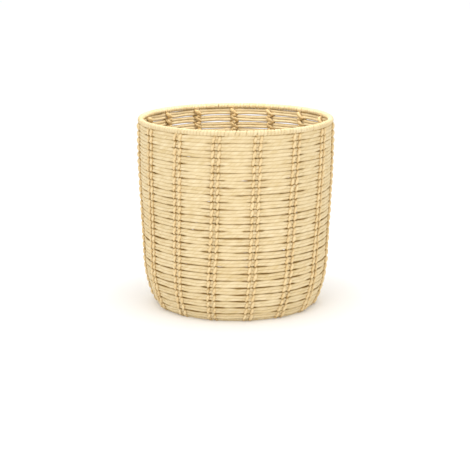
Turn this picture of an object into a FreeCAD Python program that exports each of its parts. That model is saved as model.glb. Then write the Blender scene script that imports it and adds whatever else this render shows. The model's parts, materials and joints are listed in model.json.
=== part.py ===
import FreeCAD, Part

import math
import os

# Woven paper-cord laundry basket on a welded wire frame.
# Millimetres, +Z up. The origin is the centre of the underside, where the basket stands.

# ---- driving dimensions -------------------------------------------------------------------

BASKET_HEIGHT = 392.0
RIM_RADIUS = 201.0            # outside of the wrapped rim
RIM_TUBE_RADIUS = 5.9         # outside of the cord wound round the rim wire
RIM_WIRE_RADIUS = 2.5

# The outside of the wall and base is a bucket: these are the corners of its outline, before
# rounding.
WALL_TOP_RADIUS = 198.4
SHOULDER_RADIUS = 198.0
SHOULDER_HEIGHT = 300.0
WAIST_RADIUS = 186.5
WAIST_HEIGHT = 60.0
FOOT_RADIUS = 165.0
BASE_HEIGHT = 1.3             # the woven base is held this far off the floor by the foot ring
SHOULDER_ROUNDING = 1500.0
WAIST_ROUNDING = 250.0
FOOT_ROUNDING = 24.0

CORD_RADIUS = 3.3
CORD_SPACING = 6.3            # between the two cords of one course
WALL_COURSES = 26
WALL_PITCH = 14.62            # from course to course, down the wall
LAST_TIE = WALL_COURSES - 1   # the last course is held by the lashings' ends
BASE_COURSES = 10
BASE_CENTRE_RADIUS = 19.0     # the coiled button in the middle of the base

STAKES = 15
FIRST_STAKE_ANGLE = -7.0      # the first stake's direction, from +X
STAKE_RADIUS = 1.6
STAKE_SHIFT = 8.1             # sideways offset of a leaning stake at the rim, and back at the base
HUB_RADIUS = 18.0
FOOT_RING_RADIUS = 158.0
FOOT_WIRE_RADIUS = 1.6
FOOT_TUBE_RADIUS = 3.2        # outside of the cord wound round the foot ring
FOOT_FLATTENING = 0.15        # how much that cord is pressed flat where the basket stands on it

LASHING_SPREAD = 7.3          # from the stake's middle to the middle of each outer run
LASHING_WIDTH = 5.2
LASHING_THICKNESS = 2.4
TIE_THICKNESS = 1.0           # where the lashing cord is squeezed between two courses
TIE_INNER_DEPTH = 2.6
TIE_INSET = 0.4               # how much narrower a tie is than its run, each side
CLEARANCE = 0.1

# ---- derived places -----------------------------------------------------------------------

RIM_CENTRE_RADIUS = RIM_RADIUS - RIM_TUBE_RADIUS
RIM_CENTRE_HEIGHT = BASKET_HEIGHT - RIM_TUBE_RADIUS
WALL_TOP = BASKET_HEIGHT - 2 * RIM_TUBE_RADIUS + 0.8
STAKE_DEPTH = 2 * CORD_RADIUS + CLEARANCE + STAKE_RADIUS
STAKE_BASE_HEIGHT = BASE_HEIGHT + STAKE_DEPTH
STAKE_LEAN = -math.degrees(math.atan(STAKE_SHIFT / (BASKET_HEIGHT / 2)))
STAKE_TOP = RIM_CENTRE_HEIGHT - 1.0
FOOT_CENTRE_HEIGHT = FOOT_TUBE_RADIUS - FOOT_FLATTENING
MIDDLE = FreeCAD.Vector(0, 0, BASKET_HEIGHT / 2)
UP = FreeCAD.Vector(0, 0, 1)
SIDEWAYS = FreeCAD.Vector(0, 1, 0)
RADIAL = FreeCAD.Vector(1, 0, 0)
ORIGIN = FreeCAD.Vector(0, 0, 0)


def at(radius, height, sideways=0.0):
    """A point in the XZ plane, which is the half plane through one stake."""
    return FreeCAD.Vector(radius, sideways, height)


# ---- the outline of the wall ----------------------------------------------------------------

def path(depth):
    """The outside of the wall and base set in by a depth, from the wall's top down and in to the
    axis, as straight and round edges that run smoothly into each other."""
    corners = [
        (at(WALL_TOP_RADIUS, WALL_TOP), 0.0),
        (at(SHOULDER_RADIUS, SHOULDER_HEIGHT), SHOULDER_ROUNDING),
        (at(WAIST_RADIUS, WAIST_HEIGHT), WAIST_ROUNDING),
        (at(FOOT_RADIUS, BASE_HEIGHT), FOOT_ROUNDING),
        (at(0.0, BASE_HEIGHT), 0.0),
    ]
    edges = []
    top, shoulder = corners[0][0], corners[1][0]
    start = top - (shoulder - top).cross(SIDEWAYS).normalize() * depth
    for (before, _), (corner, rounding), (after, _) in zip(corners, corners[1:], corners[2:]):
        inward = (before - corner).normalize()
        outward = (after - corner).normalize()
        bisector = (inward + outward).normalize()
        half_turn = (math.pi - inward.getAngle(outward)) / 2
        radius = rounding - depth
        set_in = corner + bisector * (depth / math.cos(half_turn))
        first = set_in + inward * (radius * math.tan(half_turn))
        last = set_in + outward * (radius * math.tan(half_turn))
        middle = set_in + bisector * (radius / math.cos(half_turn) - radius)
        edges.append(Part.LineSegment(start, first).toShape())
        edges.append(Part.Arc(first, middle, last).toShape())
        start = last
    edges.append(Part.LineSegment(start, at(0.0, BASE_HEIGHT + depth)).toShape())
    return edges


CORD_LINE = path(CORD_RADIUS)


def along(distance):
    """The point, the downward tangent and the outward normal at a distance along the cords' line."""
    for edge in CORD_LINE:
        if distance <= edge.Length:
            break
        distance -= edge.Length
    parameter = edge.getParameterByLength(min(distance, edge.Length))
    tangent = edge.tangentAt(parameter)
    return edge.valueAt(parameter), tangent, tangent.cross(SIDEWAYS).normalize()


def stretch(edge, depth, share=1.0):
    """Points on an edge, moved outwards: two for a straight edge, three for a round one."""
    last = edge.getParameterByLength(edge.Length * share)
    stops = [edge.FirstParameter, last]
    if isinstance(edge.Curve, Part.Circle):
        stops.insert(1, (edge.FirstParameter + last) / 2)
    normals = [edge.tangentAt(stop).cross(SIDEWAYS).normalize() for stop in stops]
    return [edge.valueAt(stop) + normal * depth for stop, normal in zip(stops, normals)]


def as_edge(points):
    """A straight edge through two points or a round one through three."""
    curve = Part.LineSegment if len(points) == 2 else Part.Arc
    return curve(*points).toShape()


# ---- placing round the basket ---------------------------------------------------------------

def leaned(shape):
    """The shape leaned sideways about the middle of the wall, as every stake leans."""
    turned = shape.copy()
    turned.rotate(MIDDLE, RADIAL, STAKE_LEAN)
    return turned


def round_basket(shape, index):
    """The shape turned about the axis to the place of one stake."""
    turned = shape.copy()
    turned.rotate(ORIGIN, UP, FIRST_STAKE_ANGLE + index * 360.0 / STAKES)
    return turned


def ring(centre_radius, height, wire_radius):
    """A closed wire ring about the axis."""
    return Part.makeTorus(centre_radius, wire_radius, at(0, height), UP)


# ---- the welded wire frame ------------------------------------------------------------------

def plain_stake():
    """One stake: a round wire down inside the wall, round the foot and in to the hub."""
    edges = path(STAKE_DEPTH)
    downward = edges[0].tangentAt(0)
    top = edges[0].valueAt(0)
    top = top + downward * ((STAKE_TOP - top.z) / downward.z)
    end = at(math.sqrt(HUB_RADIUS ** 2 - STAKE_SHIFT ** 2), STAKE_BASE_HEIGHT)
    edges[0] = Part.LineSegment(top, edges[0].Vertexes[1].Point).toShape()
    edges[-1] = Part.LineSegment(edges[-1].Vertexes[0].Point, end).toShape()
    section = Part.Wire(Part.makeCircle(STAKE_RADIUS, top, downward))
    return leaned(Part.Wire(edges).makePipeShell([section], True, False))


def frame_rings():
    """The rim ring, the foot ring that the basket stands on, and the hub."""
    rim = ring(RIM_CENTRE_RADIUS, RIM_CENTRE_HEIGHT, RIM_WIRE_RADIUS)
    foot = ring(FOOT_RING_RADIUS, FOOT_CENTRE_HEIGHT, FOOT_WIRE_RADIUS)
    hub = ring(HUB_RADIUS, STAKE_BASE_HEIGHT, STAKE_RADIUS)
    return rim, foot, hub


# ---- the woven courses ----------------------------------------------------------------------

def course(centre, tangent, normal):
    """Two cords side by side along the tangent, as one ring round the axis."""
    half = CORD_SPACING / 2
    waist = math.sqrt(CORD_RADIUS ** 2 - half ** 2)
    first = centre - tangent * (half + CORD_RADIUS)
    last = centre + tangent * (half + CORD_RADIUS)
    outer_notch = centre + normal * waist
    inner_notch = centre - normal * waist
    edges = [
        Part.Arc(outer_notch, first, inner_notch).toShape(),
        Part.Arc(inner_notch, last, outer_notch).toShape(),
    ]
    return Part.Face(Part.Wire(edges)).revolve(ORIGIN, UP, 360)


def wall_course(index):
    """One course of the wall, the first under the rim."""
    return course(*along((index + 0.5) * WALL_PITCH))


def base_weave():
    """The courses of the base, from the foot ring in to the coiled button in the middle."""
    edge = FOOT_RING_RADIUS - FOOT_TUBE_RADIUS - CLEARANCE
    pitch = (edge - BASE_CENTRE_RADIUS) / BASE_COURSES
    height = BASE_HEIGHT + CORD_RADIUS
    rings = [course(at(edge - (index + 0.5) * pitch, height), RADIAL, UP)
             for index in range(BASE_COURSES)]
    button = Part.makeCylinder(BASE_CENTRE_RADIUS - CLEARANCE, 2 * CORD_RADIUS, at(0, BASE_HEIGHT))
    rims = [edge for edge in button.Edges if isinstance(edge.Curve, Part.Circle)]
    return Part.makeCompound(rings + [button.makeFillet(CORD_RADIUS / 2, rims)])


def wrapped(centre_radius, height, tube_radius, hidden):
    """The cord wound round a wire ring as one tube, hollow where the wires run, flat at z = 0."""
    above_floor = Part.makeCylinder(RIM_RADIUS, BASKET_HEIGHT, ORIGIN)
    return ring(centre_radius, height, tube_radius).common(above_floor).cut(hidden)


# ---- the lashings ---------------------------------------------------------------------------

def outer_run(sideways):
    """One flat run of lashing cord down the outside of the wall, leaned with its stake."""
    left = LAST_TIE * WALL_PITCH + TIE_THICKNESS
    near = []
    far = []
    for edge in CORD_LINE:
        if left <= 0:
            break
        share = min(1.0, left / edge.Length)
        near.append(stretch(edge, CORD_RADIUS + CLEARANCE, share))
        far.append(stretch(edge, CORD_RADIUS + CLEARANCE + LASHING_THICKNESS, share))
        left -= edge.Length
    ends = [[near[0][0], far[0][0]], [near[-1][-1], far[-1][-1]]]
    sides = [as_edge(points) for points in near + far + ends]
    face = Part.Face(Part.Wire(Part.__sortEdges__(sides)))
    face.translate(SIDEWAYS * (sideways - LASHING_WIDTH / 2))
    return leaned(face.extrude(SIDEWAYS * LASHING_WIDTH))


def tie(distance):
    """One tie: the cord in through a gap, behind the stake and out again, as a flat staple."""
    point, tangent, normal = along(distance)
    outside = CORD_RADIUS + CLEARANCE + LASHING_THICKNESS / 2
    behind = CORD_RADIUS - STAKE_DEPTH - STAKE_RADIUS - CLEARANCE
    deep = behind - TIE_INNER_DEPTH
    wide = LASHING_SPREAD + LASHING_WIDTH / 2 - TIE_INSET
    narrow = LASHING_SPREAD - LASHING_WIDTH / 2 + TIE_INSET
    corners = [(outside, -wide), (deep, -wide), (deep, wide), (outside, wide),
               (outside, narrow), (behind, narrow), (behind, -narrow), (outside, -narrow)]
    corners.append(corners[0])
    top = point - tangent * (TIE_THICKNESS / 2)
    polygon = Part.makePolygon([top + normal * out + SIDEWAYS * side for out, side in corners])
    staple = Part.Face(polygon).extrude(tangent * TIE_THICKNESS)
    shift = -(point.z - MIDDLE.z) * math.sin(math.radians(STAKE_LEAN))
    staple.rotate(ORIGIN, UP, math.degrees(math.atan(shift / point.x)))
    return staple


def plain_lashing():
    """One lashing: two runs outside the wall, tied behind the stake through each gap."""
    runs = [outer_run(LASHING_SPREAD), outer_run(-LASHING_SPREAD)]
    ties = [tie(index * WALL_PITCH) for index in range(1, LAST_TIE + 1)]
    return runs[0].multiFuse(runs[1:] + ties).removeSplitter()


# ---- writing the parts ----------------------------------------------------------------------

def save(shape, name):
    """Write one node and print its volume, so that a broken solid is noticed."""
    if not shape.isValid():
        raise ValueError(name + " isn't a valid shape")
    print(name, len(shape.Solids), "solid(s),", round(shape.Volume / 1000, 2), "cm3")
    shape.exportStep("parts/" + name + ".step")


def main():
    os.makedirs("parts", exist_ok=True)
    rim_ring, foot_ring, hub = frame_rings()
    stake = plain_stake()
    lashing = plain_lashing()
    stakes = [round_basket(stake, index) for index in range(STAKES)]
    rim_wrap = wrapped(RIM_CENTRE_RADIUS, RIM_CENTRE_HEIGHT, RIM_TUBE_RADIUS, [rim_ring] + stakes)
    foot_wrap = wrapped(FOOT_RING_RADIUS, FOOT_CENTRE_HEIGHT, FOOT_TUBE_RADIUS, [foot_ring])

    save(Part.makeCompound([rim_ring, foot_ring, hub]), "frame_rings")
    save(rim_wrap, "rim_wrap")
    save(foot_wrap, "foot_wrap")
    save(base_weave(), "base_weave")
    seated = stake.cut([rim_ring, hub])
    for index in range(STAKES):
        save(round_basket(seated, index), "stake_%02d" % (index + 1))
        save(round_basket(lashing, index), "lashing_%02d" % (index + 1))
    for index in range(WALL_COURSES):
        save(wall_course(index), "wall_course_%02d" % (index + 1))


main()
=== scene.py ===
"""Weaves a round paper-cord laundry basket on its welded wire frame.

The wall is level courses of two cords, lashed to every stake.  The rim and the foot are wire rings wound with
cord, and the base is woven over and under the wires.  Lengths are metres, and +Z is up.
"""

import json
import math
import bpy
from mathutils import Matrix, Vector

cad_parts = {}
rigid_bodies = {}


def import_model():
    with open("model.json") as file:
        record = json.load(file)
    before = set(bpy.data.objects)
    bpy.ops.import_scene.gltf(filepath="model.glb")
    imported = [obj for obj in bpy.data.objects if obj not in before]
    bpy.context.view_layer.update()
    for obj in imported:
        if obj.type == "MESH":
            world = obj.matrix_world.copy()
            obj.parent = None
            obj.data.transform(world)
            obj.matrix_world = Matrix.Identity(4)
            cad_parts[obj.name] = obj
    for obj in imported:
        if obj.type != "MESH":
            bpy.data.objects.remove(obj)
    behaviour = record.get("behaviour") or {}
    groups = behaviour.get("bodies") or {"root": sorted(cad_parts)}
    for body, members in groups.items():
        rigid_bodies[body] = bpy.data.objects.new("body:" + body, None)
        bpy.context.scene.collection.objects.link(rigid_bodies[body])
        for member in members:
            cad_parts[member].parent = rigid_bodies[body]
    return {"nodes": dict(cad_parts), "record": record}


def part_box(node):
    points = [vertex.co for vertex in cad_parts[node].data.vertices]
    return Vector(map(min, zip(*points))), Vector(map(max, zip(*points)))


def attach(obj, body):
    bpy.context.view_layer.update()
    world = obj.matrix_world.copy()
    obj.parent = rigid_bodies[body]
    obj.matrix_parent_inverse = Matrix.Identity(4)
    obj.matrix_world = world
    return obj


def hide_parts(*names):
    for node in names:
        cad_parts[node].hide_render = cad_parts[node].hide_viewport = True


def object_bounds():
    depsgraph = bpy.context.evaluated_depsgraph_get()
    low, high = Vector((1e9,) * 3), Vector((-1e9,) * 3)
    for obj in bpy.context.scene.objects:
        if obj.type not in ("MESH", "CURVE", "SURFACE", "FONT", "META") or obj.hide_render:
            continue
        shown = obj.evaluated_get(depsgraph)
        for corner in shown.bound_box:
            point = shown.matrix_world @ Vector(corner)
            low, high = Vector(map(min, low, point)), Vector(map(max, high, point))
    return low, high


bl_info = {
    "name": "Woven Laundry Basket",
    "version": (1, 0, 0),
    "blender": (4, 5, 0),
    "location": "3D View > Sidebar > Basket",
    "description": "Weaves a paper-cord laundry basket on its wire frame",
    "category": "Object",
}

import bpy
import numpy as np

# A new file's own objects go before the frame comes in.
for leftover in list(bpy.data.objects):
    bpy.data.objects.remove(leftover)
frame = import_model()
cad_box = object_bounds()

NODES = frame["nodes"]
COURSES = sorted(name for name in NODES if name.startswith("wall_course_"))
STAKES = sorted(name for name in NODES if name.startswith("stake_"))
WIRES = [part["node"] for part in frame["record"]["subparts"] if part["material_slot"] == "frame_wire"]
LASHINGS = sorted(name for name in NODES if name.startswith("lashing_"))
UV_NAME = "strand"        # UV map: metres along a cord, and the share of a turn round it
# Painted shade: this point attribute says how much of the shade colour each point gets, by how deep it lies
# between its neighbours.
CREVICE_SHADE_NAME = "crevice_shade"    # point attribute: how deep a point lies between its neighbours, from 0 to 1
MM = 0.001
TURN = 2 * math.pi
WIRE_RADIUS = 1.6 * MM
CORD_SIDES = 12           # points round a cord of the wall or the base


# ---- reading the frame ----------------------------------------------------------------------

def corners(node):
    """The corner points of a CAD node's mesh, one row each."""
    mesh = NODES[node].data
    points = np.empty(len(mesh.vertices) * 3, np.float32)
    mesh.vertices.foreach_get("co", points)
    return points.reshape(-1, 3).astype(float)


def section(node):
    """Centre radius, centre height and half height of a ring about the axis, from its section's box."""
    points = corners(node)
    radius = np.hypot(points[:, 0], points[:, 1])
    height = points[:, 2]
    return ((radius.min() + radius.max()) / 2, (height.min() + height.max()) / 2,
            (height.max() - height.min()) / 2)


BASKET_HEIGHT = cad_box[1][2]
MIDDLE = np.array([0, 0, BASKET_HEIGHT / 2])
RIM_RADIUS, RIM_HEIGHT, RIM_TUBE = section("rim_wrap")
FOOT_RADIUS, _, _ = section("foot_wrap")
# The foot's tube is cut flat at the floor, so its size comes from its width.
FOOT_TUBE = np.ptp(np.hypot(*corners("foot_wrap")[:, :2].T)) / 2
FOOT_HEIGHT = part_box("foot_wrap")[1].z - FOOT_TUBE
WALL_CENTRES = np.array([section(node)[:2] for node in COURSES])
PITCH = np.linalg.norm(np.diff(WALL_CENTRES, axis=0), axis=1).mean()
SPARE = 4                 # courses by which the wall's line is carried on past each end


def wall_knots():
    """The courses' centres (radius, height), carried on in a straight line past both ends."""
    steps = np.arange(1, SPARE + 1)[:, None]
    above = WALL_CENTRES[0] + steps[::-1] * (WALL_CENTRES[0] - WALL_CENTRES[1])
    below = WALL_CENTRES[-1] + steps * (WALL_CENTRES[-1] - WALL_CENTRES[-2])
    return np.concatenate([above, WALL_CENTRES, below])


WALL_KNOTS = wall_knots()


def wall(course):
    """Point, downward tangent and outward normal, each as (radius, height), of the wall at a course number.

    The line is a Catmull-Rom cubic through the courses' centres, so whole numbers are those centres.
    """
    course = np.asarray(course, float)
    cell = np.clip(np.floor(course).astype(int), 1 - SPARE, len(WALL_CENTRES) + SPARE - 3)
    part = (course - cell)[..., None]
    before, start, end, after = (WALL_KNOTS[cell + SPARE + step] for step in (-1, 0, 1, 2))
    linear = (end - before) / 2
    square = before - 2.5 * start + 2 * end - after / 2
    cube = (after - before) / 2 + 1.5 * (start - end)
    point = start + part * (linear + part * (square + part * cube))
    tangent = linear + part * (2 * square + part * 3 * cube)
    tangent = tangent / np.linalg.norm(tangent, axis=-1, keepdims=True)
    normal = np.stack([-tangent[..., 1], tangent[..., 0]], -1)
    return point, tangent, normal


def stake_plane(node):
    """Unit normal of the plane through the basket's middle that a leaning stake lies in.

    It is the direction in which the stake's corner points spread least, turned to point the way that the
    azimuth grows.
    """
    points = corners(node) - MIDDLE
    normal = np.linalg.svd(points, full_matrices=False)[2][-1]
    mean = points.mean(axis=0)
    return normal * np.sign(mean[0] * normal[1] - mean[1] * normal[0])


STAKE_PLANES = np.array([stake_plane(node) for node in STAKES])


def stake_azimuth(plane, radius, height):
    """Azimuth at which a stake's plane meets the circle of that radius at that height.

    It is the azimuth of the plane's normal less the arc cosine of -n_z (height - middle) / (n_xy radius).
    """
    flat = math.hypot(plane[0], plane[1])
    reach = -plane[2] * (height - MIDDLE[2]) / (flat * radius)
    return math.atan2(plane[1], plane[0]) - np.arccos(reach)


def stake_azimuths(radius, height):
    """The azimuths of all the stakes at one radius and height."""
    return np.array([stake_azimuth(plane, radius, height) for plane in STAKE_PLANES])


# ---- curves and surfaces --------------------------------------------------------------------

def smooth(low, high, value):
    """0 below low, 1 above high, and 3x^2 - 2x^3 between."""
    part = np.clip((value - low) / (high - low), 0, 1)
    return part * part * (3 - 2 * part)


def wander(random, fewest, most, size):
    """A closed wavering line, as a function of the azimuth.

    It is the sum of waves of every whole number from fewest to most round the basket, with random sizes and
    phases.
    """
    numbers = np.arange(fewest, most + 1)
    phases = random.uniform(0, TURN, len(numbers))
    weights = size * random.normal(0, 1, len(numbers)) / math.sqrt(len(numbers) / 2)
    return lambda angle: (weights[:, None] * np.sin(np.outer(numbers, angle) + phases[:, None])).sum(axis=0)


def spline(points, steps):
    """A Catmull-Rom cubic through rows of numbers, with so many steps from each row to the next."""
    padded = np.concatenate([2 * points[:1] - points[1:2], points, 2 * points[-1:] - points[-2:-1]])
    place = np.arange((len(points) - 1) * steps + 1) / steps
    cell = np.minimum(place.astype(int), len(points) - 2)
    part = (place - cell)[:, None]
    before, start, end, after = (padded[cell + step] for step in range(4))
    return start + part * ((end - before) / 2 + part * (
        before - 2.5 * start + 2 * end - after / 2 + part * ((after - before) / 2 + 1.5 * (start - end))))


def unit(vectors):
    """The vectors at length 1."""
    return vectors / np.linalg.norm(vectors, axis=-1, keepdims=True)


def turned(radius, azimuth, height, sideways=0.0):
    """Points at a radius, azimuth and height, moved sideways along the circle's tangent."""
    radius, azimuth, height, sideways = np.broadcast_arrays(radius, azimuth, height, sideways)
    return np.stack([radius * np.cos(azimuth) - sideways * np.sin(azimuth),
                     radius * np.sin(azimuth) + sideways * np.cos(azimuth), height], -1)


def carried(centres):
    """Two unit normals along each path, carried from station to station without twisting.

    Each step reflects the last normal in the plane between two stations, and then in the plane between their
    tangents.  Paths lie along the first axis, stations along the second.
    """
    tangents = unit(np.gradient(centres, axis=1))
    first = np.zeros_like(centres)
    start = np.cross(tangents[:, 0], np.roll(tangents[:, 0], 1, axis=-1))
    first[:, 0] = unit(start)
    for station in range(centres.shape[1] - 1):
        step = unit(centres[:, station + 1] - centres[:, station])
        normal = first[:, station] - 2 * (first[:, station] * step).sum(-1, keepdims=True) * step
        tangent = tangents[:, station] - 2 * (tangents[:, station] * step).sum(-1, keepdims=True) * step
        mirror = tangents[:, station + 1] - tangent
        # On a straight stretch the mirror has no size, and nothing is turned.
        size = np.maximum((mirror * mirror).sum(-1, keepdims=True), 1e-12)
        first[:, station + 1] = unit(normal - 2 * (normal * mirror).sum(-1, keepdims=True) / size * mirror)
    return first, np.cross(tangents, first)


def rounded(centres, first, second, first_radius, second_radius, sides, power=1.0):
    """A ring of points round each centre: centre + first r1 cos(a) + second r2 sin(a).

    A power below 1 on the cosine and the sine makes the ring squarer.
    """
    angle = np.arange(sides) * TURN / sides
    cosine, sine = (np.sign(wave) * np.abs(wave) ** power for wave in (np.cos(angle), np.sin(angle)))
    across = np.multiply.outer(first_radius, cosine)[..., None]
    along = np.multiply.outer(second_radius, sine)[..., None]
    return centres[..., None, :] + across * first[..., None, :] + along * second[..., None, :]


def woven_mesh(name, rings, closed, crevice_shade, start=0.0, cord_start=7.3):
    """A mesh of cords: rings[cord, station, side] are its points, and the fourth argument is the painted shade
    of each point, by how deep it lies between its neighbours.

    Closed cords run back into themselves, and open ones end in a pole at each end.  The UV map holds the length
    along the cord in metres, from start for the first cord and cord_start more for each next one, so that no
    two look alike, and the share of a turn round it.
    """
    # One quad from each point to the next round the cord and the next along it.
    cords, stations, sides = rings.shape[:3]
    index = np.arange(cords * stations * sides).reshape(cords, stations, sides)
    near = index if closed else index[:, :-1]
    far = np.roll(index, -1, axis=1) if closed else index[:, 1:]
    quads = np.stack([near, np.roll(near, -1, axis=2), np.roll(far, -1, axis=2), far], -1).reshape(-1, 4)

    # The same corners on the UV map: length along the cord, and share of a turn.
    middle = rings.mean(axis=2)
    steps = np.linalg.norm(np.roll(middle, -1, axis=1) - middle, axis=-1)
    length = np.concatenate([np.zeros((cords, 1)), np.cumsum(steps, axis=1)], axis=1)
    length = length + start + cord_start * np.arange(cords)[:, None]
    side = np.arange(sides + 1) / sides
    spans = near.shape[1]
    near_length = np.broadcast_to(length[:, :spans, None], near.shape)
    far_length = np.broadcast_to(length[:, 1:spans + 1, None], near.shape)
    first_side = np.broadcast_to(side[:-1], near.shape)
    next_side = np.broadcast_to(side[1:], near.shape)
    quad_uv = np.stack([np.stack([near_length, first_side], -1), np.stack([near_length, next_side], -1),
                        np.stack([far_length, next_side], -1), np.stack([far_length, first_side], -1)], -2)

    points, shade = rings.reshape(-1, 3), crevice_shade.ravel()
    loops, uv = quads.ravel(), quad_uv.reshape(-1, 2)
    sizes = np.full(len(quads), 4)
    if not closed:
        # A fan of triangles from a pole closes each end.
        starts, ends = index[:, 0], index[:, -1]
        pole = len(points) + np.arange(2 * cords).reshape(2, cords, 1)
        start_pole = np.broadcast_to(pole[0], starts.shape)
        end_pole = np.broadcast_to(pole[1], ends.shape)
        start_caps = np.stack([start_pole, np.roll(starts, -1, axis=1), starts], -1)
        end_caps = np.stack([end_pole, ends, np.roll(ends, -1, axis=1)], -1)
        caps = np.concatenate([start_caps.reshape(-1, 3), end_caps.reshape(-1, 3)])
        points = np.concatenate([points, middle[:, 0], middle[:, -1]])
        shade = np.concatenate([shade, np.zeros(2 * cords)])
        loops = np.concatenate([loops, caps.ravel()])
        cap_uv = np.zeros((2, cords, sides, 3, 2))
        cap_uv[0, ..., 0] = length[:, 0, None, None]
        cap_uv[1, ..., 0] = length[:, stations - 1, None, None]
        cap_uv[..., 1] = side[:-1, None]
        uv = np.concatenate([uv, cap_uv.reshape(-1, 2)])
        sizes = np.concatenate([sizes, np.full(len(caps), 3)])

    mesh = bpy.data.meshes.new(name)
    mesh.vertices.add(len(points))
    mesh.vertices.foreach_set("co", points.astype(np.float32).ravel())
    mesh.loops.add(len(loops))
    mesh.loops.foreach_set("vertex_index", loops.astype(np.int32))
    mesh.polygons.add(len(sizes))
    mesh.polygons.foreach_set("loop_start", (np.cumsum(sizes) - sizes).astype(np.int32))
    mesh.uv_layers.new(name=UV_NAME).uv.foreach_set("vector", uv.astype(np.float32).ravel())
    mesh.attributes.new(CREVICE_SHADE_NAME, "FLOAT", "POINT").data.foreach_set("value", shade.astype(np.float32))
    mesh.update(calc_edges=True)
    mesh.shade_smooth()
    return mesh


def placed(name, mesh, material, slot, *replaced):
    """The mesh as a piece of the basket that stands for CAD nodes."""
    piece = bpy.data.objects.new(name, mesh)
    bpy.context.scene.collection.objects.link(piece)
    mesh.materials.append(material)
    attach(piece, "root")
    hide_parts(*replaced)


# ---- shader maths ---------------------------------------------------------------------------

class Flow:
    """A shader socket that adds Math nodes when it is used in a sum."""

    def __init__(self, recipe, socket):
        self.recipe = recipe
        self.socket = socket

    def output(self, number):
        """Another output of the same node."""
        return Flow(self.recipe, self.socket.node.outputs[number])

    def within(self, low, high):
        """The value, held between two limits."""
        return self.recipe.maths("MINIMUM", self.recipe.maths("MAXIMUM", self, low), high)

    def __add__(self, other):
        return self.recipe.maths("ADD", self, other)

    def __sub__(self, other):
        return self.recipe.maths("SUBTRACT", self, other)

    def __rsub__(self, other):
        return self.recipe.maths("SUBTRACT", other, self)

    def __mul__(self, other):
        return self.recipe.maths("MULTIPLY", self, other)

    def __pow__(self, other):
        return self.recipe.maths("POWER", self, other)

    __radd__ = __add__
    __rmul__ = __mul__


class Recipe:
    """One material and the nodes that make it."""

    def __init__(self, name):
        self.material = bpy.data.materials.new(name)
        self.material.use_nodes = True
        self.tree = self.material.node_tree
        self.finish = self.tree.nodes["Principled BSDF"]

    def node(self, kind, settings=None, values=None, output=0):
        """Add a node, set its settings and then its sockets, and hand back one of its outputs."""
        made = self.tree.nodes.new(kind)
        for setting, value in (settings or {}).items():
            setattr(made, setting, value)
        for socket, value in (values or {}).items():
            if isinstance(value, Flow):
                self.tree.links.new(value.socket, made.inputs[socket])
            else:
                made.inputs[socket].default_value = value
        return Flow(self, made.outputs[output])

    def maths(self, operation, *values):
        """The result of a Math node on the values."""
        return self.node("ShaderNodeMath", {"operation": operation}, dict(enumerate(values)))

    def mix(self, factor, first, second):
        """A colour between two others."""
        return self.node("ShaderNodeMix", {"data_type": "RGBA"}, {0: factor, 6: first, 7: second}, 2)

    def set(self, **values):
        """Set or link sockets of the Principled shader, such as base_color."""
        for name, value in values.items():
            socket = self.finish.inputs[name.replace("_", " ").title()]
            if isinstance(value, Flow):
                self.tree.links.new(value.socket, socket)
            else:
                socket.default_value = value


def opaque(colour):
    """A colour with full alpha, as sockets want it."""
    return (*colour[:3], 1.0)


def paper_cord(name, pale, deep, crevice_shade, twist, plies):
    """Twisted paper: fibres and plies that spiral round the cord, patches of deeper colour along it, and
    painted shade, a brown that stands in for the shadow in the hollows between the cords.

    The spiral's angle is the share of a turn round the cord plus the length along it divided by the twist.  The
    tone goes from the pale colour to the deep one by fine fibres, short patches and long patches, and a little
    deeper in the grooves between the plies, as painted shade.  The fibres and the plies also stand up from the
    surface.
    """
    recipe = Recipe(name)
    strand = recipe.node("ShaderNodeUVMap", {"uv_map": UV_NAME})
    length = recipe.node("ShaderNodeSeparateXYZ", None, {0: strand})
    share = length.output(1)
    angle = (share + length * (1 / twist)) * TURN
    cosine, sine = recipe.maths("COSINE", angle), recipe.maths("SINE", angle)

    def fibres(around, per_metre, detail):
        """Noise on a helix: around is its radius, and so how fine it is across the cord."""
        vector = recipe.node("ShaderNodeCombineXYZ", None,
                             {0: cosine * around, 1: sine * around, 2: length * per_metre})
        return recipe.node("ShaderNodeTexNoise", None,
                           {"Vector": vector, "Scale": 1.0, "Detail": detail, "Roughness": 0.6})

    fine = fibres(5.5, 70.0, 4.0)
    patches = fibres(0.5, 21.0, 2.0)
    broad = fibres(0.1, 3.3, 1.0)
    ridge = recipe.maths("SINE", angle * plies) * 0.5 + 0.5
    # Painted shade: the grooves between the plies get a little of the deep colour.
    ply_groove_shade = (1 - ridge) ** 3.0
    tone = (fine * 1.1 + patches * 1.0 + broad * 0.9 + ply_groove_shade * 0.07 - 1.04).within(0.0, 1.0)
    relief = fine * 0.75 + ridge * 0.25
    bump = recipe.node("ShaderNodeBump", None, {"Strength": 0.6, "Distance": 0.0005, "Height": relief})
    # Painted shade: the point attribute mixes the shade colour into the paper where a point lies between its
    # neighbours.
    shade = recipe.node("ShaderNodeAttribute", {"attribute_name": CREVICE_SHADE_NAME}, None, "Fac")
    paper = recipe.mix(tone, opaque(pale), opaque(deep))
    recipe.set(base_color=recipe.mix(shade, paper, opaque(crevice_shade)), roughness=0.72, normal=bump)
    recipe.finish.inputs["Specular IOR Level"].default_value = 0.15
    return recipe.material


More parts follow.
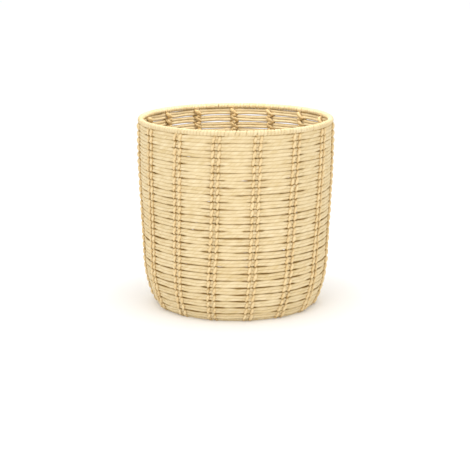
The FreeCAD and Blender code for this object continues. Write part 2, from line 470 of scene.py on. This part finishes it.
def painted_wire(colour, worn):
    """Satin straw-coloured paint on steel, a little uneven."""
    recipe = Recipe("painted_wire")
    position = recipe.node("ShaderNodeTexCoord", None, None, "Object")
    uneven = recipe.node("ShaderNodeTexNoise", None, {"Vector": position, "Scale": 220.0, "Detail": 3.0})
    specks = recipe.node("ShaderNodeTexNoise", None, {"Vector": position, "Scale": 900.0, "Detail": 2.0})
    bump = recipe.node("ShaderNodeBump", None, {"Strength": 0.2, "Distance": 0.0002, "Height": specks})
    recipe.set(base_color=recipe.mix(uneven, opaque(colour), opaque(worn)), roughness=0.38, normal=bump)
    return recipe.material


# ---- settings -------------------------------------------------------------------------------

def colour_setting(name, description, default):
    """A colour that a user can change."""
    return bpy.props.FloatVectorProperty(name=name, description=description, default=default, subtype="COLOR",
                                         size=3, min=0.0, max=1.0)


def length_setting(name, description, default):
    """A length that a user can change."""
    return bpy.props.FloatProperty(name=name, description=description, default=default, unit="LENGTH",
                                   precision=5)


class BasketFinish(bpy.types.PropertyGroup):
    """Colours and twist of the cords and the wire."""

    cord_pale: colour_setting("Pale cord", "Lightest colour of the wall cord", (0.815, 0.69, 0.455))
    cord_deep: colour_setting("Deep cord", "Deepest colour of the wall cord", (0.61, 0.455, 0.215))
    lashing_pale: colour_setting("Pale lashing", "Lightest colour of the lashing cord", (0.84, 0.685, 0.42))
    lashing_deep: colour_setting("Deep lashing", "Deepest colour of the lashing cord", (0.65, 0.455, 0.205))
    # Painted shade: a dark brown mixed into the cords where they lie deep between their neighbours, standing in
    # for the shadow in the gaps.
    crevice_shade: colour_setting("Hollows", "Colour of the cord deep between its neighbours", (0.27, 0.135, 0.004))
    wire: colour_setting("Wire", "Colour of the painted wire", (0.62, 0.46, 0.26))
    wire_worn: colour_setting("Worn wire", "Colour of the wire's paint where it is thin", (0.50, 0.36, 0.20))
    twist: length_setting("Twist", "Length of cord in which its fibres go once round", 0.030)
    plies: bpy.props.IntProperty(name="Plies", description="Strands twisted into a cord", default=3, min=1)


class BasketWall(bpy.types.PropertyGroup):
    """Sizes of the woven wall."""

    gap_at_stake: length_setting("Gap at stakes", "Half the gap between courses beside a stake", 0.84 * MM)
    gap_on_stake: length_setting("Gap on stakes", "Half the gap between courses right on a stake", 0.36 * MM)
    gap_upper: length_setting("Upper gap", "Half the gap between stakes near the rim", 0.02 * MM)
    gap_lower: length_setting("Lower gap", "Half the gap between stakes near the foot", 0.38 * MM)
    back_gap: length_setting("Back gap", "How much half of the highest gaps grows at the back", 1.05 * MM)
    loose_gap: length_setting("Loose gap", "How much half a gap may grow where the weave is loose", 0.25 * MM)
    pinched: length_setting("Pinched", "Distance from a stake up to which a course is pinched", 9.0 * MM)
    relaxed: length_setting("Relaxed", "Distance from a stake where a course has relaxed", 34.0 * MM)
    bulge: length_setting("Bulge", "How far a course stands out halfway between stakes", 0.7 * MM)
    waver: length_setting("Waver", "How far a course wanders up and down", 0.5 * MM)
    depth: length_setting("Cord depth", "Half the cord's thickness through the wall", 3.4 * MM)
    squareness: bpy.props.FloatProperty(name="Squareness", description="1 is a round cord, and less is squarer",
                                        default=0.72, min=0.3, max=1.0)
    seed: bpy.props.IntProperty(name="Seed", description="Start of the random waver", default=7)


class BasketWrap(bpy.types.PropertyGroup):
    """Sizes of the cord wound round the rim and the foot, and of the lashings."""

    turn_width: length_setting("Turn width", "Width of one turn round the rim or the foot", 6.9 * MM)
    turn_thickness: length_setting("Turn thickness", "Half the thickness of one flattened turn", 1.55 * MM)
    foot_turn_width: length_setting("Foot turn width", "Width of one turn round the foot ring", 6.4 * MM)
    foot_turn_thickness: length_setting("Foot turn thickness", "Half the thickness of a turn at the foot",
                                        1.5 * MM)
    lashing_radius: length_setting("Lashing radius", "Half the thickness of the lashing cord", 2.75 * MM)
    base_radius: length_setting("Base radius", "Half the thickness of the base's cord", 3.3 * MM)
    spread: length_setting("Lashing spread", "Distance of a lashing's outer runs from the stake", 6.3 * MM)


class BasketStage(bpy.types.PropertyGroup):
    """Camera, lights and floor."""

    distance: length_setting("Camera distance", "Level distance from the camera to the basket's axis", 3.26)
    height: length_setting("Camera height", "Height of the camera above the floor", 0.87)
    sideways: length_setting("Camera sideways", "How far the camera stands to the right of the axis", -0.0013)
    pitch: bpy.props.FloatProperty(name="Camera pitch", description="How far the camera looks down",
                                   default=math.radians(12.6), subtype="ANGLE")
    lens: bpy.props.FloatProperty(name="Lens", description="Focal length on a 36 mm sensor", default=122.5)
    floor: colour_setting("Floor", "Colour of the floor", (0.98, 0.98, 0.98))


# ---- the wall -------------------------------------------------------------------------------

def stake_distance(angle, radius, height):
    """Distance along the circle from each angle to the nearest stake."""
    apart = angle[:, None] - stake_azimuths(radius, height)
    apart = np.abs((apart + math.pi) % TURN - math.pi)
    return apart.min(axis=1) * radius


def station_angles(radius, height, steps=48, crowding=0.55):
    """Azimuths round a course, closer together beside the stakes.

    From stake to stake they go as s - c sin(2 pi s) / 2 pi, where s grows evenly and c is the crowding.
    """
    start = np.sort(stake_azimuths(radius, height) % TURN)
    share = np.arange(steps) / steps
    share = share - crowding * np.sin(TURN * share) / TURN
    return (start[:, None] + share * TURN / len(start)).ravel()


def gap_lines(random):
    """For every gap, the wavering lines that say where it is loose and how uneven it is at the stakes."""
    return [(wander(random, 2, 22, 1.0), wander(random, 9, 40, 0.26)) for _ in range(len(COURSES) + 1)]


def half_gap(number, angle, lines, settings):
    """Half the gap above a course, round the basket.

    Beside a stake it is the pinched gap, which closes again right on the wire.  Halfway between stakes it is
    small, grows towards the foot, and opens where a slow wavering line rises and high up at the back.
    """
    (radius, height), _, _ = wall(number - 0.5)
    distance = stake_distance(angle, radius, height)
    looseness, unevenness = (line(angle) for line in lines[number])
    slack = np.tanh(looseness)
    # The wedges beside the stakes reach further where the weave is loose.
    pinch = (1 - smooth(settings.pinched, settings.relaxed, distance * (1 - 0.35 * slack))) ** 2
    # From 0 just below the rim to 1 a little past halfway down.
    low = smooth(0.12, 0.6, number / len(COURSES))
    at_back = smooth(0.1, 0.8, np.sin(angle)) * (1 - smooth(2.0, 5.0, number))
    usual = settings.gap_upper + (settings.gap_lower - settings.gap_upper) * low
    between = (usual * (1 + 0.6 * slack) + smooth(0.6, 2.2, looseness) * settings.loose_gap
               + at_back * settings.back_gap)
    on_wire = 1 - smooth(1.2 * MM, 3.6 * MM, distance)
    widest = settings.gap_at_stake * (0.75 + 0.4 * low)
    beside = widest + (settings.gap_on_stake - widest) * on_wire
    return between + (beside * (1 + unevenness) - between) * pinch


def wall_course(number, lines, settings, random):
    """The two cords of one course, as rings[cord, station, side], and the painted shade of each point, by how
    deep it lies between the courses.

    The pair fills the room between its two gaps, so each cord's half height is a quarter of it, a little more
    so that the two press together, and its depth grows as the height shrinks.  A point gets painted shade where
    it faces the gap and the gap is open, a little even where the gap is shut, and a faint line of painted shade
    where the two cords of the pair meet.
    """
    press, thicken, edge_shade, pair_shade = 1.07, 0.35, 0.10, 0.06
    (radius, height), tangent, normal = wall(float(number))
    angle = station_angles(radius, height)
    above, below = (half_gap(gap, angle, lines, settings) for gap in (number, number + 1))
    pinch = 1 - smooth(settings.pinched, settings.relaxed, stake_distance(angle, radius, height))
    waver = wander(random, 2, 12, settings.waver)(angle) * (1 - 0.8 * pinch)
    bulge = settings.bulge * (1 - pinch) + wander(random, 3, 30, 0.22 * MM)(angle)
    top = above - PITCH / 2 + waver
    bottom = PITCH / 2 - below + waver
    split = top + (bottom - top) * (0.5 + wander(random, 3, 25, 0.022)(angle))
    facing = np.sin(np.arange(CORD_SIDES) * TURN / CORD_SIDES)
    rings, crevice_shade = [], []
    for low, high, gap, way in ((top, split, above, -1), (split, bottom, below, 1)):
        half = (high - low) / 2 * press
        depth = settings.depth * (1 + wander(random, 5, 50, 0.02)(angle)) + thicken * (settings.depth - half)
        middle = (low + high) / 2
        line = np.array([radius, height]) + middle[:, None] * tangent + bulge[:, None] * normal
        centres = turned(line[:, 0], angle, line[:, 1])
        outward = turned(normal[0], angle, normal[1])
        downward = turned(tangent[0], angle, tangent[1])
        rings.append(rounded(centres, outward, downward, depth, half, CORD_SIDES, settings.squareness))
        # Painted shade: the side that faces the gap darkens, more as the gap opens, and the sides where the
        # pair press together get a faint line.
        open_gap = smooth(0.0, settings.gap_at_stake, gap)
        to_gap = np.clip(way * facing, 0, 1) ** 2.2
        to_pair = np.clip(-way * facing, 0, 1) ** 5
        shade = edge_shade + (1 - edge_shade) * open_gap
        crevice_shade.append(np.multiply.outer(shade, to_gap) + pair_shade * to_pair)
    return np.array(rings), np.array(crevice_shade)


def wall_paper(context, name):
    """The paper of the wall's cord, as a material of its own for one kind of piece."""
    finish = context.scene.basket_finish
    return paper_cord(name, finish.cord_pale, finish.cord_deep, finish.crevice_shade, finish.twist, finish.plies)


def seeded(context, step):
    """The random numbers of one step of the work, the same in each run."""
    return np.random.default_rng(context.scene.basket_wall.seed + step)


class BASKET_OT_wall(bpy.types.Operator):
    """Weave the courses of the wall"""

    bl_idname = "basket.wall"
    bl_label = "Weave the wall"

    def execute(self, context):
        pattern_step = 19.1
        random = seeded(context, 0)
        lines = gap_lines(random)
        cord = wall_paper(context, "wall_cord")
        for number, node in enumerate(COURSES):
            rings, crevice_shade = wall_course(number, lines, context.scene.basket_wall, random)
            mesh = woven_mesh(node.replace("wall_", "woven_"), rings, True, crevice_shade, pattern_step * number)
            placed(mesh.name, mesh, cord, "wall_cord", node)
        return {"FINISHED"}


# ---- the lashings ---------------------------------------------------------------------------

STITCH_HALVES = (8, 9)    # rows of a stitch in its left and right half


def lashing_stitch(spread, thick):
    """One course's stitch, as rows of sideways, depth, course number and thickness.

    Down over the course on the left, in below it, up behind the stake to the right, out above the course, down
    over it on the right, in below it, and across behind the stake to the left again.  Sideways and depth are in
    millimetres here, from the stake and the wall's middle, and thickness is a share of the cord's own: over
    is how far out the cord passes over a course, thin its share where a gap squeezes it, and full its share
    behind the stake.
    """
    side, over, thin, full = spread / MM, 4.5, 0.5, 1.38
    rows = np.array([
        (-side + 1.7, 2.2, -0.45, 0.66),
        (-side + 1.2, over - 0.1, -0.27, 0.98),
        (-side, over + 0.5, 0.0, 1.14),
        (-side - 1.0, over - 0.1, 0.27, 0.98),
        (-side - 1.3, 2.2, 0.45, 0.66),
        (-side - 0.9, -0.6, 0.5, thin),
        (-3.4, -8.9, 0.22, full),
        (3.4, -8.9, -0.22, full),
        (side + 0.9, -0.6, -0.5, thin),
        (side + 1.3, 2.2, -0.45, 0.66),
        (side + 1.0, over - 0.1, -0.27, 0.98),
        (side, over + 0.5, 0.0, 1.14),
        (side - 1.2, over - 0.1, 0.27, 0.98),
        (side - 1.7, 2.2, 0.45, 0.66),
        (side - 1.3, -0.6, 0.5, thin),
        (0.0, -11.4, 0.5, full),
        (-side + 0.9, -0.6, 0.5, thin),
    ])
    rows[:, :2] *= MM
    rows[:, 3] *= thick
    return rows


def ring_wraps(radius, height, reach, turns, sideways, thick):
    """Rows of sideways, radius, height and thickness for a lashing that winds round a ring.

    turns are angles in degrees round the ring's section, from outward and up, sideways are as many places in
    millimetres, and reach is the distance from the ring's middle.
    """
    turns = np.radians(turns)
    return np.stack([np.array(sideways) * MM, radius + reach * np.cos(turns), height + reach * np.sin(turns),
                     np.full(len(turns), thick)], -1)


def lashing_rows(spread, thick, random):
    """The whole route of one lashing, as rows of sideways, radius, height and thickness.

    It has turns round the rim ring, one stitch for each course, and turns round the foot ring.  Each half of a
    stitch is moved sideways and pulled thinner or thicker by a random amount, each row is moved a little, and
    the whole lashing sways slowly from side to side.
    """
    stitch = lashing_stitch(spread, thick)
    count = len(COURSES)
    halves = STITCH_HALVES * count
    rows = np.tile(stitch, (count, 1))
    rows[:, 2] += np.repeat(np.arange(count), len(stitch))
    rows[:, 0] += np.repeat(random.normal(0, 0.45 * MM, len(halves)), halves)
    rows[:, 0] += random.normal(0, 0.15 * MM, len(rows))
    rows[:, 0] += wander(random, 1, 3, 0.7 * MM)(rows[:, 2] * math.pi / count)
    rows[:, 1] += random.normal(0, 0.12 * MM, len(rows))
    rows[:, 3] *= 1 + np.repeat(random.normal(0, 0.07, len(halves)), halves)
    point, _, normal = wall(rows[:, 2])
    line = point + rows[:, 1:2] * normal
    middle = np.stack([rows[:, 0], line[:, 0], line[:, 1], rows[:, 3]], -1)
    sink, end_thick = 0.5 * MM, thick * 0.85
    top = ring_wraps(RIM_RADIUS, RIM_HEIGHT, RIM_TUBE - sink,
                     (190, 210, 235, 265, 295, 315), (5.5, 5.5, 4.0, 0.0, -4.0, -5.5), end_thick)
    foot = ring_wraps(FOOT_RADIUS, FOOT_HEIGHT, FOOT_TUBE + sink,
                      (75, 20, -35, -90, -150, -210, -270, -330, -385, -440, -500, -560),
                      (-6.8, -6.8, -6.2, -5.0, -3.0, -1.0, 1.5, 4.0, 5.5, 6.0, 5.0, 4.0), end_thick)
    return np.concatenate([top, middle, foot])


def tubes(paths, sides):
    """Round cords along paths of (centres, half thickness): all the centres, all the half thicknesses, and the
    cords' points as rings[cord, station, side]."""
    centres, thick = (np.array(part) for part in zip(*paths))
    first, second = carried(centres)
    return centres, thick, rounded(centres, first, second, thick, thick, sides)


def lashing_shade(centres, thick, rings, cord_radius):
    """How much painted shade each point of the lashings gets: where a stitch is squeezed into a gap, and less
    on the side that faces inward, to the courses."""
    in_gap, facing_in = 0.8, 0.45
    squeezed = 1 - smooth(0.66, 0.95, thick / cord_radius)
    inward = -unit(centres * (1, 1, 0))[..., None, :]
    against = ((rings - centres[..., None, :]) * inward).sum(-1) / thick[..., None]
    return np.maximum(squeezed[..., None] * in_gap, smooth(-0.1, 1.1, against) * facing_in)


class BASKET_OT_lashings(bpy.types.Operator):
    """Lash the courses to every stake"""

    bl_idname = "basket.lashings"
    bl_label = "Lash the stakes"

    def execute(self, context):
        pattern_step, steps, plies, sides = 11.7, 3, 2, 8
        settings, finish = context.scene.basket_wrap, context.scene.basket_finish
        random = seeded(context, 1)
        cord = paper_cord("lashing_cord", finish.lashing_pale, finish.lashing_deep, finish.crevice_shade,
                          finish.twist / 2, plies)
        paths = []
        for plane in STAKE_PLANES:
            rows = spline(lashing_rows(settings.spread, settings.lashing_radius, random), steps)
            azimuth = stake_azimuth(plane, rows[:, 1], rows[:, 2])
            paths.append((turned(rows[:, 1], azimuth, rows[:, 2], rows[:, 0]), rows[:, 3]))
        centres, thick, rings = tubes(paths, sides)
        # The last turns are pressed flat where the basket stands on them.
        rings[..., 2] = np.maximum(rings[..., 2], 0.0)
        crevice_shade = lashing_shade(centres, thick, rings, settings.lashing_radius)
        for number, node in enumerate(LASHINGS):
            mesh = woven_mesh(node.replace("lashing", "wound_lashing"), rings[number:number + 1], False,
                              crevice_shade[number:number + 1], pattern_step * number)
            placed(mesh.name, mesh, cord, "lashing_cord", node)
        return {"FINISHED"}


# ---- the rim and the foot -------------------------------------------------------------------

def coil(radius, height, tube, turn_width, turn_thickness, random, steps=24, sides=10):
    """Cord wound round a ring, as rings[cord, station, side].

    The winding angle is the number of turns times the azimuth, so it closes on itself.  Each turn is an ellipse
    flattened onto the ring, a little wider than its share so that the turns touch, with painted shade at its
    edges where it meets the next turn, by the fourth power of the sine.
    """
    overlap, edge_shade = 1.12, 0.22
    turns = round(TURN * radius / turn_width)
    azimuth = np.arange(turns * steps) * TURN / (turns * steps)
    winding = turns * azimuth + wander(random, 20, 90, 0.3)(azimuth)
    thickness = turn_thickness * (1 + wander(random, 30, turns, 0.08)(azimuth))
    out = tube - thickness
    centres = turned(radius + out * np.cos(winding), azimuth, height + out * np.sin(winding))
    outward = turned(np.cos(winding), azimuth, np.sin(winding))
    tangent = unit(np.roll(centres, -1, axis=0) - np.roll(centres, 1, axis=0))
    outward = unit(outward - (outward * tangent).sum(-1, keepdims=True) * tangent)
    across = np.cross(tangent, outward)
    width = np.full(len(azimuth), TURN * radius / turns / 2 * overlap)
    # Painted shade at the edges of each turn, where it meets the next.
    edge = np.abs(np.sin(np.arange(sides) * TURN / sides)) ** 4 * edge_shade
    rings = rounded(centres, outward, across, thickness, width, sides)[None]
    return rings, np.broadcast_to(edge, rings.shape[:3])


class BASKET_OT_rim(bpy.types.Operator):
    """Wind cord round the rim"""

    bl_idname = "basket.rim"
    bl_label = "Wind the rim"

    def execute(self, context):
        settings = context.scene.basket_wrap
        rings, crevice_shade = coil(RIM_RADIUS, RIM_HEIGHT, RIM_TUBE, settings.turn_width, settings.turn_thickness,
                             seeded(context, 2))
        placed("wound_rim", woven_mesh("wound_rim", rings, True, crevice_shade), wall_paper(context, "rim_cord"),
               "wrap_cord", "rim_wrap")
        return {"FINISHED"}


class BASKET_OT_foot(bpy.types.Operator):
    """Wind cord round the foot ring"""

    bl_idname = "basket.foot"
    bl_label = "Wind the foot"

    def execute(self, context):
        settings = context.scene.basket_wrap
        rings, crevice_shade = coil(FOOT_RADIUS, FOOT_HEIGHT, FOOT_TUBE, settings.foot_turn_width,
                             settings.foot_turn_thickness, seeded(context, 3))
        # The turns are pressed flat where the basket stands on them.
        rings[..., 2] = np.maximum(rings[..., 2], 0.0)
        placed("wound_foot", woven_mesh("wound_foot", rings, True, crevice_shade), wall_paper(context, "foot_cord"),
               "wrap_cord", "foot_wrap")
        return {"FINISHED"}


# ---- the base -------------------------------------------------------------------------------

def base_cord(offset, wires_height, outer, cord_radius, stations=3300):
    """Centres and half thickness of one of the base's cords, a flat spiral over one wire and under the next.

    The first turn tapers from nothing along the foot ring, so that the spiral's outer edge is a full circle.
    With an odd number of wires, the cosine of half their number times the azimuth changes sign after each turn,
    so that each turn lies over the wires that the last one went under.  Inside the button's radius the cord
    runs below the wires, as a close coil, and from the weave's radius outward it goes fully over and under.
    """
    room, innermost, hub, button, weave = 1.01, 0.35 * MM, 12 * MM, 36 * MM, 60 * MM
    pitch = 4 * cord_radius * room
    turns = np.linspace(0, 1 + (outer - offset) / pitch, stations)
    azimuth = TURN * turns
    taper = np.clip(turns, 0.05, 1)
    radius = np.maximum(outer - offset * taper - pitch * np.maximum(turns - 1, 0), innermost)
    lean = stake_azimuth(STAKE_PLANES[0], np.maximum(radius, hub), wires_height)
    sway = np.cos(len(STAKES) / 2 * (azimuth - lean))
    full = wires_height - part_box("stake_01")[0].z + cord_radius
    over = full * smooth(button, weave, radius)
    height = wires_height - full + over * (1 + sway)
    return turned(radius, azimuth, height), cord_radius * taper


class BASKET_OT_base(bpy.types.Operator):
    """Weave the base over and under the wires"""

    bl_idname = "basket.base"
    bl_label = "Weave the base"

    def execute(self, context):
        points = corners("base_weave")
        outer = np.hypot(points[:, 0], points[:, 1]).max()
        radius = context.scene.basket_wrap.base_radius
        wires = corners("stake_01")[:, 2].min() + WIRE_RADIUS
        paths = [base_cord(offset, wires, outer, radius) for offset in (radius, 3 * radius)]
        rings = tubes(paths, CORD_SIDES)[-1]
        crevice_shade = np.zeros(rings.shape[:3])
        placed("woven_base", woven_mesh("woven_base", rings, False, crevice_shade), wall_paper(context, "base_cord"),
               "base_cord", "base_weave")
        return {"FINISHED"}


# ---- the wire frame -------------------------------------------------------------------------

class BASKET_OT_wire(bpy.types.Operator):
    """Paint the wire frame"""

    bl_idname = "basket.wire"
    bl_label = "Paint the wire"

    def execute(self, context):
        finish = context.scene.basket_finish
        paint = painted_wire(finish.wire, finish.wire_worn)
        for node in WIRES:
            for slot in NODES[node].material_slots:
                slot.material = paint
        return {"FINISHED"}


# ---- the stage ------------------------------------------------------------------------------

def soft_light(name, place, aim, size, power):
    """A square area light that shines from a place towards another."""
    light = bpy.data.lights.new(name, "AREA")
    light.shape, light.size, light.energy = "SQUARE", size, power
    lamp = bpy.data.objects.new(name, light)
    lamp.location = place
    direction = np.array(aim) - np.array(place)
    level = math.hypot(direction[0], direction[1])
    lamp.rotation_euler = (math.atan2(level, -direction[2]), 0, math.atan2(-direction[0], direction[1]))
    bpy.context.scene.collection.objects.link(lamp)


class BASKET_OT_stage(bpy.types.Operator):
    """Set up the floor, the lights and the camera"""

    bl_idname = "basket.stage"
    bl_label = "Set the stage"

    def execute(self, context):
        settings = context.scene.basket_stage
        reach, gap, air_strength = 30.0, 0.2 * MM, 1.03
        mesh = bpy.data.meshes.new("floor")
        mesh.from_pydata([(-reach, -reach, 0), (reach, -reach, 0), (reach, reach, 0), (-reach, reach, 0)], [],
                         [(0, 1, 2, 3)])
        floor = bpy.data.objects.new("floor", mesh)
        floor.location.z = -gap
        context.scene.collection.objects.link(floor)
        paint = Recipe("floor")
        paint.set(base_color=opaque(settings.floor), roughness=0.9)
        mesh.materials.append(paint.material)

        world = bpy.data.worlds.new("studio")
        world.use_nodes = True
        air = world.node_tree.nodes["Background"]
        air.inputs["Color"].default_value = (1.0, 1.0, 1.0, 1.0)
        air.inputs["Strength"].default_value = air_strength
        context.scene.world = world
        middle, inner_wall, wide, narrow = (0, 0, 0.2), (0, 0.19, 0.33), 1.8, 0.25
        soft_light("key", (-1.5, -2.9, 1.5), middle, wide, 17)
        soft_light("fill", (1.9, -2.6, 0.9), middle, wide, 9)
        soft_light("top", (0.1, -0.6, 2.6), middle, wide, 10)
        soft_light("inside", (0.0, -0.02, 0.85), inner_wall, narrow, 2.6)

        camera = bpy.data.cameras.new("camera")
        camera.lens = settings.lens
        camera.sensor_width = 36.0
        camera.clip_end = 200.0
        view = bpy.data.objects.new("camera", camera)
        view.location = (settings.sideways, -settings.distance, settings.height)
        view.rotation_euler = (math.pi / 2 - settings.pitch, 0, 0)
        context.scene.collection.objects.link(view)
        context.scene.camera = view
        context.scene.view_settings.view_transform = "Standard"
        return {"FINISHED"}


# ---- the add-on -----------------------------------------------------------------------------

class BASKET_PT_sidebar(bpy.types.Panel):
    """The basket's steps and settings"""

    bl_idname = "BASKET_PT_sidebar"
    bl_label = "Woven basket"
    bl_space_type = "VIEW_3D"
    bl_region_type = "UI"
    bl_category = "Basket"

    def draw(self, context):
        """List the steps, and below them the settings group by group."""
        for operator in OPERATORS:
            self.layout.operator(operator.bl_idname)
        for name, group in SETTINGS.items():
            box = self.layout.box()
            for setting in group.__annotations__:
                box.prop(getattr(context.scene, name), setting)


OPERATORS = (BASKET_OT_wire, BASKET_OT_wall, BASKET_OT_lashings, BASKET_OT_rim, BASKET_OT_foot, BASKET_OT_base,
             BASKET_OT_stage)
SETTINGS = {"basket_finish": BasketFinish, "basket_wall": BasketWall, "basket_wrap": BasketWrap,
            "basket_stage": BasketStage}


def register():
    """Make the settings, the operators and the panel known to Blender."""
    for group in SETTINGS.values():
        bpy.utils.register_class(group)
    for name, group in SETTINGS.items():
        setattr(bpy.types.Scene, name, bpy.props.PointerProperty(type=group))
    for made in OPERATORS + (BASKET_PT_sidebar,):
        bpy.utils.register_class(made)


def unregister():
    """Take them away again, the other way round."""
    for made in (BASKET_PT_sidebar,) + OPERATORS[::-1]:
        bpy.utils.unregister_class(made)
    for name, group in SETTINGS.items():
        delattr(bpy.types.Scene, name)
        bpy.utils.unregister_class(group)


def main():
    """Make the basket and its stage."""
    register()
    bpy.ops.basket.wire()
    bpy.ops.basket.wall()
    bpy.ops.basket.lashings()
    bpy.ops.basket.rim()
    bpy.ops.basket.foot()
    bpy.ops.basket.base()
    bpy.ops.basket.stage()


if __name__ == "__main__":
    main()
